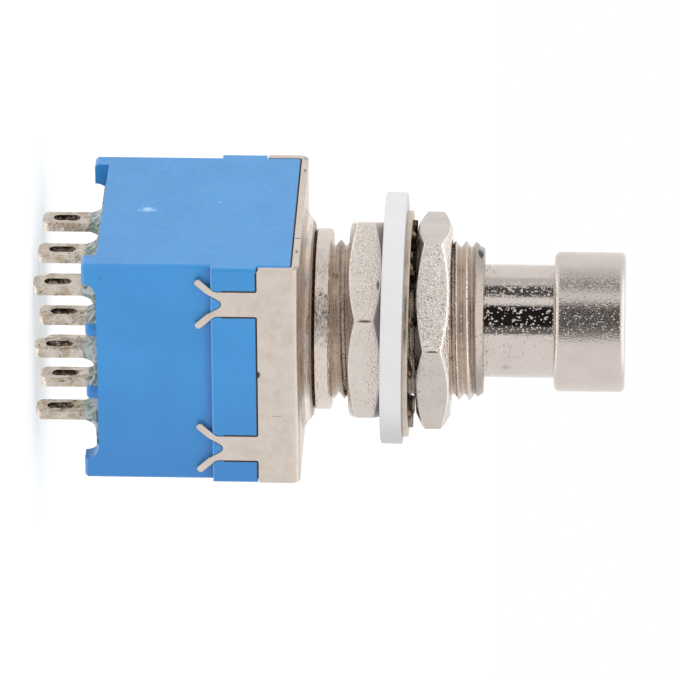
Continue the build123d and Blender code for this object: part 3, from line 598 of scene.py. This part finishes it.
finishes = {
    "blue_moulding": makeBlueMoulding(),
    "plated_steel_sheet": makePlatedSheet(),
    "nickel_plated_brass": makeTurnedNickel(),
    "polished_nickel": makeButtonNickel(),
    "white_nylon": makeWhiteNylon(),
    "spring_steel": makePlain("springSteel", (206, 197, 187), (165, 150, 136), 1.0, 0.3, 0.8, 0.008),
    "tinned_brass": makeSolderTin(),
    "epoxy_resin": makeCastResin(),
    "black_moulding": makePlain("blackMoulding", (44, 44, 47), (34, 34, 36), 0.0, 0.5),
    "contact_copper": makePlain("contactCopper", (214, 160, 122), (190, 132, 96), 1.0, 0.25),
}
ownFinishes = {node: makeNutNickel(node) for node in ("lower_nut", "upper_nut")}
ownFinishes["lock_washer"] = makeToothedRing()
for node, slot in slotOf.items():
    sockets = frame["nodes"][node].data.materials
    sockets.clear()
    sockets.append(ownFinishes.get(node) or finishes[slot])
print("finishes made")


# Pieces of the scene that stand for a node. From here on lengths are in mm and angles in degrees
def adopt(piece, node):
    scene.collection.objects.link(piece)
    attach(piece, bodyOf[node])
    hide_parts(node)


def addPiece(name, node, verts, faces, sharpFrom):  # edges stay sharp from a bend in degrees
    mesh = bpy.data.meshes.new(name)
    mesh.from_pydata([(x * mm, y * mm, z * mm) for x, y, z in verts], [], faces)
    shape = bmesh.new()
    shape.from_mesh(mesh)
    bmesh.ops.remove_doubles(shape, verts=shape.verts, dist=0.0005 * mm)  # points that fall together
    bmesh.ops.recalc_face_normals(shape, faces=shape.faces)
    shape.to_mesh(mesh)
    shape.free()
    for face in mesh.polygons:
        face.use_smooth = True
    mesh.set_sharp_from_angle(angle=radians(sharpFrom))
    mesh.materials.append(ownFinishes.get(node) or finishes[slotOf[node]])
    piece = bpy.data.objects.new(name, mesh)
    adopt(piece, node)
    return piece


# Broken edges: "shortest" and "bend" are the shortest edge and the least bend that are taken.
# The lock washer also leans and lies lower
stubSpots = [(x, y) for x in (-2.6, 2.6) for y in (-7.0, 7.0)]  # the case's round stubs
softEdges = {
    "case": {"width": 0.13, "steps": 3, "shortest": 0.5, "bend": 25,
             "stubsBelow": -15.5, "stubReach": 0.7, "stubBend": 30, "stubRound": 0.32, "stubSteps": 3},
    "cover_bracket": {"width": 0.06, "steps": 2, "shortest": 0.22, "bend": 25},
    "plunger": {"width": 0.15, "steps": 4, "shortest": 0.05, "bend": 25, "above": 18.5},
    "lock_washer": {"width": 0.05, "steps": 2, "shortest": 0.3, "bend": 40, "lean": 0.7, "lower": 0.15},
}
for node in bodyOf:
    if node.endswith("_lug"):
        softEdges[node] = {"width": 0.09, "steps": 2, "shortest": 0.1, "bend": 40}


def bends(edge, angle):  # whether the two faces at an edge meet at more than an angle
    return len(edge.link_faces) == 2 and edge.calc_face_angle(0) > radians(angle)


def bevel(shape, edges, width, steps, miter="SHARP"):
    bmesh.ops.bevel(shape, geom=edges, offset=width * mm, offset_type="OFFSET", segments=steps, profile=0.5,
                    affect="EDGES", clamp_overlap=True, miter_outer=miter)


def onStub(vert):
    nearest = min((vert.co.xy - Vector(spot) * mm).length for spot in stubSpots)
    return vert.co.z < softEdges["case"]["stubsBelow"] * mm and nearest < softEdges["case"]["stubReach"] * mm


def leaning(node, lean):  # a turn about the middle of the node's foot, as seen from the camera
    low, high = boxOf(node)
    foot = Vector((low.x + high.x, low.y + high.y, 2 * low.z)) / 2 * mm
    turn = Matrix.Rotation(radians(-lean), 4, frontSide)
    return Matrix.Translation(foot) @ turn @ Matrix.Translation(-foot)


def breakEdges(node):
    size = softEdges[node]
    mesh = frame["nodes"][node].data.copy()
    mesh.name = node + "_soft"
    shape = bmesh.new()
    shape.from_mesh(mesh)
    bmesh.ops.remove_doubles(shape, verts=shape.verts, dist=0.002 * mm)
    bmesh.ops.dissolve_limit(shape, angle_limit=radians(1.0), verts=shape.verts, edges=shape.edges)
    above = size.get("above", -100) * mm
    chosen = [
        edge for edge in shape.edges
        if bends(edge, size["bend"]) and edge.is_convex and edge.calc_length() > size["shortest"] * mm
        and min(vert.co.z for vert in edge.verts) > above
    ]
    bevel(shape, chosen, size["width"], size["steps"], "ARC")
    if node == "case":
        ends = [edge for edge in shape.edges if all(map(onStub, edge.verts))]
        ends = [edge for edge in ends if bends(edge, size["stubBend"])]
        bevel(shape, ends, size["stubRound"], size["stubSteps"])
    if "lean" in size:
        settled = Matrix.Translation((0, 0, -size["lower"] * mm)) @ leaning(node, size["lean"])
        bmesh.ops.transform(shape, matrix=settled, verts=shape.verts)
    shape.to_mesh(mesh)
    shape.free()
    if mesh.attributes.get("custom_normal"):
        mesh.attributes.remove(mesh.attributes["custom_normal"])
    for face in mesh.polygons:
        face.use_smooth = True
    mesh.set_sharp_from_angle(angle=radians(50))
    piece = bpy.data.objects.new(node + "_soft", mesh)
    adopt(piece, node)
    even = piece.modifiers.new("evenNormals", "WEIGHTED_NORMAL")  # keeps the flats flat beside the soft edges
    even.keep_sharp = True
    even.weight = 100


for node in softEdges:
    breakEdges(node)
print("edges broken")


def turned(radius, turn, z):  # the point at a radius and an angle, the angle in radians
    return radius * cos(turn), radius * sin(turn), z


def hoopFaces(rows, around):  # faces of a hoop, from rows of points whose last row joins the first
    faces = []
    for row in range(rows):
        here, above = row * around, (row + 1) % rows * around
        for step in range(around):
            ahead = (step + 1) % around
            faces.append((here + step, here + ahead, above + ahead, above + step))
    return faces


# Nylon washer: barely rounded corners, leaning like the lock washer. "thin" is its share of the node's height
washerForm = {"bore": 6.15, "round": 0.12, "roundSteps": 4, "thin": 0.92, "lean": 0.7, "around": 180}


def makeNylonWasher():
    size = washerForm
    low, high = boxOf("nylon_washer")
    bottom, around, soft = low.z, size["around"], size["round"]
    top = bottom + (high.z - low.z) * size["thin"]
    rim = (high.x - low.x) / 2 - soft
    turns = [radians(90 * step / size["roundSteps"]) for step in range(size["roundSteps"] + 1)]
    outline = [(size["bore"], bottom)]
    outline += [(rim + soft * sin(turn), bottom + soft - soft * cos(turn)) for turn in turns]
    outline += [(rim + soft * cos(turn), top - soft + soft * sin(turn)) for turn in turns]
    outline += [(size["bore"], top)]
    foot = Vector((low.x + high.x, low.y + high.y, 2 * bottom)) / 2
    lean = Matrix.Translation(foot) @ Matrix.Rotation(radians(-size["lean"]), 4, frontSide)
    verts = [
        lean @ Vector(turned(radius, 2 * pi * step / around, z - bottom))
        for radius, z in outline for step in range(around)
    ]
    return verts, hoopFaces(len(outline), around)


addPiece("nylon_washer_turned", "nylon_washer", *makeNylonWasher(), sharpFrom=35)
print("washer turned")


# Bushing: turned body with a helical thread. A crest passes the height crestAt on the side at crestSide
bushingSize = {
    "pitch": 0.78, "depth": 0.45, "crestAt": 12.03, "crestSide": 152.3, "crestFlat": 0.07, "rootFlat": 0.12,
    "crest": 5.95, "from": 2.1, "lead": 0.75, "taper": 0.55, "around": 120, "rows": 12,
    "ring": 6.75, "ringFrom": 0.86, "ringBevel": 0.15, "neck": 6.3, "spigot": 6.2, "plate": 0.5, "seat": 0.8,
    "stake": 6.85, "bore": 4.28, "mouth": 0.3, "step": 9.0, "counterbore": 4.85,
}


def threadRadius(z, angle, top):
    size = bushingSize
    turn = ((z - size["crestAt"]) / size["pitch"] - (angle - size["crestSide"]) / 360) % 1.0
    fromCrest = min(turn, 1 - turn)
    share = (fromCrest - size["crestFlat"] / 2) / (0.5 - size["crestFlat"] / 2 - size["rootFlat"] / 2)
    radius = size["crest"] - size["depth"] * min(max(share, 0), 1)
    return min(radius, size["crest"] - size["taper"] + (top - z) * size["taper"] / size["lead"])


def makeBushing():
    size = bushingSize
    low, high = boxOf("bushing")
    foot, top, start = low.z, high.z, size["from"]
    pitch, around, rows = size["pitch"], size["around"], size["rows"]
    verts, faces = [], []
    firstRow = int((start - size["crestAt"]) / pitch * rows) - 2 * rows  # two turns more at either end
    rowCount = int((top - size["crestAt"]) / pitch * rows) + 2 * rows - firstRow
    for row in range(rowCount):
        for step in range(around):
            angle = 360 * step / around
            z = size["crestAt"] + ((firstRow + row) / rows + (angle - size["crestSide"]) / 360) * pitch
            z = min(max(z, start), top)  # what lies past the ends is pressed flat
            verts.append(turned(threadRadius(z, angle, top), radians(angle), z))
    for row in range(rowCount - rows):
        for step in range(around):
            here = row * around + step
            ahead = here + 1 if step < around - 1 else (row + rows) * around
            faces.append((here, ahead, ahead + around, here + around))
    bevel, under, root = size["ringBevel"], size["seat"] - size["plate"], size["crest"] - size["depth"]
    outline = [
        (root - bevel, start), (size["ring"] - bevel, start), (size["ring"], start - bevel),
        (size["ring"], size["ringFrom"] + bevel), (size["ring"] - bevel, size["ringFrom"]),
        (size["neck"], size["ringFrom"]), (size["neck"], size["seat"]), (size["spigot"], size["seat"]),
        (size["spigot"], under), (size["stake"], under), (size["stake"], foot), (size["counterbore"], foot),
        (size["counterbore"], size["step"]), (size["bore"], size["step"]),
        (size["bore"], top - size["mouth"]), (size["bore"] + size["mouth"], top),
        (size["crest"] - size["taper"], top),
    ]
    begin = len(verts)
    verts += [turned(radius, 2 * pi * step / around, z) for radius, z in outline for step in range(around)]
    for ring in range(len(outline) - 1):
        for step in range(around):
            here = begin + ring * around + step
            ahead = begin + ring * around + (step + 1) % around
            faces.append((here, here + around, ahead + around, ahead))
    return verts, faces


addPiece("bushing_threaded", "bushing", *makeBushing(), sharpFrom=35)
print("bushing threaded")


# Nuts: the chamfers' arcs run softly into the flats. The levels of points lie within "fine" of either face
nutForm = {
    "flats": 14.5, "bore": 6.0, "chamfer": 25.0, "band": 0.1, "cornerRound": 0.03, "highlightWide": 0.075,
    "around": 300, "levels": 20, "fine": 0.75,
    "lower_nut": {"turn": 3.7, "lowRound": 0.06, "highRound": 0.06},
    "upper_nut": {"turn": 19.0, "lowRound": 0.06, "highRound": 0.12},
}


def softLeast(first, second, width):  # the smaller of two lengths, rounded where they cross
    least = min(first, second)
    return least - width * log(exp((least - first) / width) + exp((least - second) / width))


def makeNut(node):
    size, own = nutForm, nutForm[node]
    low, high = (corner.z for corner in boxOf(node))
    half, slope, around = size["flats"] / 2, tan(radians(size["chamfer"])), size["around"]
    edge = half - size["band"] / slope
    steps = [size["fine"] * step / size["levels"] for step in range(size["levels"] + 1)]
    levels = [low + step for step in steps] + [high - step for step in reversed(steps)]
    rings = [[(size["bore"], low)] * around]
    shine = [0.0] * around  # how near each point is to the line between a flat and a chamfer, where a highlight is painted
    for z in levels:
        ring = []
        for step in range(around):
            turn = (360 * step / around - own["turn"]) % 60 - 30
            nearest, second = half / cos(radians(turn)), half / cos(radians(60 - abs(turn)))
            radius = softLeast(nearest, second, size["cornerRound"])
            lowCone, highCone = edge + (z - low) / slope, edge + (high - z) / slope
            shine.append(exp(-((min(lowCone, highCone) - radius) / size["highlightWide"]) ** 2))
            radius = softLeast(radius, lowCone, own["lowRound"])
            ring.append((softLeast(radius, highCone, own["highRound"]), z))
        rings.append(ring)
    rings.append([(size["bore"], high)] * around)
    shine += [0.0] * around
    verts = [
        turned(radius, 2 * pi * step / around, z)
        for ring in rings for step, (radius, z) in enumerate(ring)
    ]
    return verts, hoopFaces(len(rings), around), shine


for node in ("lower_nut", "upper_nut"):
    verts, faces, shine = makeNut(node)
    nut = addPiece(node + "_turned", node, verts, faces, sharpFrom=20)
    nut.data.attributes.new("rim", "FLOAT", "POINT").data.foreach_set("value", shine)
print("nuts turned")


# Resin: rises towards the middle and climbs each lug and stub. "rim" is the level that its rises start from
resinSize = {
    "rim": -14.95, "edgeRise": 0.25, "middleRise": 0.2, "middleFrom": 2.2, "spacing": 0.1,
    "lugThickness": 0.7, "lugWidth": 1.9, "climb": 0.75, "thin": 0.13, "spread": 0.25, "wide": 0.5,
    "stub": 0.6, "stubClimb": 0.5, "stubReach": 0.9,
}


def makeResin():
    size = resinSize
    low, high = boxOf("sealing_resin")
    lugs = [(sum(boxOf(node), Vector()) / 2).xy for node in bodyOf if node.endswith("_lug")]
    columns = round((high.x - low.x) / size["spacing"])
    lines = round((high.y - low.y) / size["spacing"])

    def rise(x, y):
        inset = min(x - low.x, high.x - x, y - low.y, high.y - y) / size["middleFrom"]
        share = min(max(inset, 0), 1)
        height = size["edgeRise"] + size["middleRise"] * share * share * (3 - 2 * share)
        for lug in lugs:
            beside = max(abs(x - lug.x) - size["lugThickness"] / 2, 0)
            along = max(abs(y - lug.y) - size["lugWidth"] / 2, 0)
            away = hypot(beside, along)
            height += size["climb"] * exp(-away / size["thin"]) + size["spread"] * exp(-away / size["wide"])
        for stubX, stubY in stubSpots:
            away = max(hypot(x - stubX, y - stubY) - size["stub"], 0)
            height += size["stubClimb"] * max(1 - away / size["stubReach"], 0) ** 2
        return height

    verts, faces = [], []
    for level in ("surface", "bottom"):
        for line in range(lines + 1):
            for column in range(columns + 1):
                x = low.x + (high.x - low.x) * column / columns
                y = low.y + (high.y - low.y) * line / lines
                z = size["rim"] - rise(x, y) if level == "surface" else high.z
                verts.append((x, y, max(z, low.z)))
    wide, whole = columns + 1, (columns + 1) * (lines + 1)
    for line in range(lines):
        for column in range(columns):
            here = line * wide + column
            faces.append((here, here + wide, here + wide + 1, here + 1))
            faces.append((here + whole, here + whole + 1, here + whole + wide + 1, here + whole + wide))
    border = list(range(columns)) + [line * wide + columns for line in range(lines)]
    border += [lines * wide + column for column in range(columns, 0, -1)]
    border += [line * wide for line in range(lines, 0, -1)]
    for here, ahead in zip(border, border[1:] + border[:1]):
        faces.append((here, ahead, ahead + whole, here + whole))
    return verts, faces


addPiece("sealing_resin_poured", "sealing_resin", *makeResin(), sharpFrom=60)
print("resin poured")


# Floor at the lugs' tips: bright where it is seen directly, left out of mirrors and not seen from below
floorLook = {"colour": 0.6, "glow": 0.5, "glowChange": 0.02, "cloud": 40.0, "reach": 1500.0}


def makeStage():
    size = floorLook
    bottom, reach, shade, glow = cadBox[0][2], size["reach"] * mm, size["colour"], size["glow"]
    corners = [(x * reach, y * reach, bottom) for x, y in ((-1, -1), (1, -1), (1, 1), (-1, 1))]
    mesh = bpy.data.meshes.new("floor")
    mesh.from_pydata(corners, [], [(0, 1, 2, 3)])
    floor = bpy.data.objects.new("floor", mesh)
    scene.collection.objects.link(floor)
    material, tree, put = newFinish("paleFloor", Roughness=0.9, Specular_IOR_Level=0.0,
                                    Base_Color=(shade, shade, shade, 1), Emission_Color=(1, 1, 1, 1))
    clouded = grain(tree, size["cloud"], detail=2.0)
    put("Emission Strength", spread(tree, clouded, 0.2, 0.8, glow, glow + size["glowChange"]))
    put("Alpha", count(tree, "SUBTRACT", 1.0, addNode(tree, "ShaderNodeNewGeometry").outputs["Backfacing"]))
    mesh.materials.append(material)
    floor.visible_glossy = False


# Surroundings: white, and in mirrors only with dark cards round the camera and brighter ends above and below.
# A card runs from "first" to "last" degrees left of the camera, and is "tall" degrees up and down
darkCards = [
    {"first": -14, "last": 32, "tall": 11, "border": 6, "dark": 0.985},
    {"first": -28, "last": -10, "tall": 11, "border": 2, "dark": 0.82},
    {"first": 50, "last": 77, "tall": 5, "border": 6, "dark": 0.93},
    {"first": 77, "last": 99, "tall": 10, "border": 6, "dark": 0.3},
]
studio = {"light": (1.0, 0.99, 0.98, 1), "ends": 1.7, "endsFrom": 36, "endsTo": 60, "cardFade": 3}


def makeSurroundings():
    world = bpy.data.worlds.new("studio")
    scene.world = world
    world.use_nodes = True
    tree = world.node_tree
    sky = tree.nodes["Background"]
    way = addNode(tree, "ShaderNodeTexCoord").outputs["Generated"]
    ahead = reckon(tree, "DOT_PRODUCT", way, frontSide).outputs[1]
    aside = reckon(tree, "DOT_PRODUCT", way, leftSide).outputs[1]
    turn = count(tree, "MULTIPLY", count(tree, "ARCTAN2", aside, ahead), 180 / pi)
    upward = addNode(tree, "ShaderNodeSeparateXYZ", {0: way}).outputs[2]
    lift = count(tree, "MULTIPLY", count(tree, "ABSOLUTE", count(tree, "ARCSINE", upward)), 180 / pi)
    dark = None
    for card in darkCards:
        border, fade = card["border"] / 2, studio["cardFade"]
        begins = spread(tree, turn, card["first"] - border, card["first"] + border)
        ends = spread(tree, turn, card["last"] + border, card["last"] - border)
        level = spread(tree, lift, card["tall"] + fade, card["tall"] - fade, 0.0, card["dark"])
        part = allOf(tree, begins, ends, level)
        dark = count(tree, "MAXIMUM", dark, part) if dark else part
    mirrored = blend(tree, dark, studio["light"], (0, 0, 0, 1))
    glossy = addNode(tree, "ShaderNodeLightPath").outputs["Is Glossy Ray"]
    bright = spread(tree, lift, studio["endsFrom"], studio["endsTo"], 1.0, studio["ends"])
    plug(tree, sky, "Color", blend(tree, glossy, (1, 1, 1, 1), mirrored))
    strength = addNode(tree, "ShaderNodeMix", {0: glossy, 2: 1.0, 3: bright}, data_type="FLOAT").outputs[0]
    plug(tree, sky, "Strength", strength)


# One soft lamp, in metal unseen: its direction's parts, its distance and size in mm, and its power in watts
keyLamp = {"left": 1.0, "front": 0.7, "up": 0.6, "away": 500.0, "size": 500.0, "power": 0.3}


def makeLamp():
    data = bpy.data.lights.new("keyLamp", "AREA")
    data.shape = "SQUARE"
    data.size = keyLamp["size"] * mm
    data.energy = keyLamp["power"]
    lamp = bpy.data.objects.new("keyLamp", data)
    scene.collection.objects.link(lamp)
    way = leftSide * keyLamp["left"] + frontSide * keyLamp["front"] + Vector((0, 0, keyLamp["up"]))
    way.normalize()
    lamp.location = way * (keyLamp["away"] * mm)
    lamp.rotation_mode = "QUATERNION"
    lamp.rotation_quaternion = way.to_track_quat("Z", "Y")
    lamp.visible_glossy = False


makeStage()
makeSurroundings()
makeLamp()
scene.view_settings.view_transform = "Standard"
print("stage and light set")
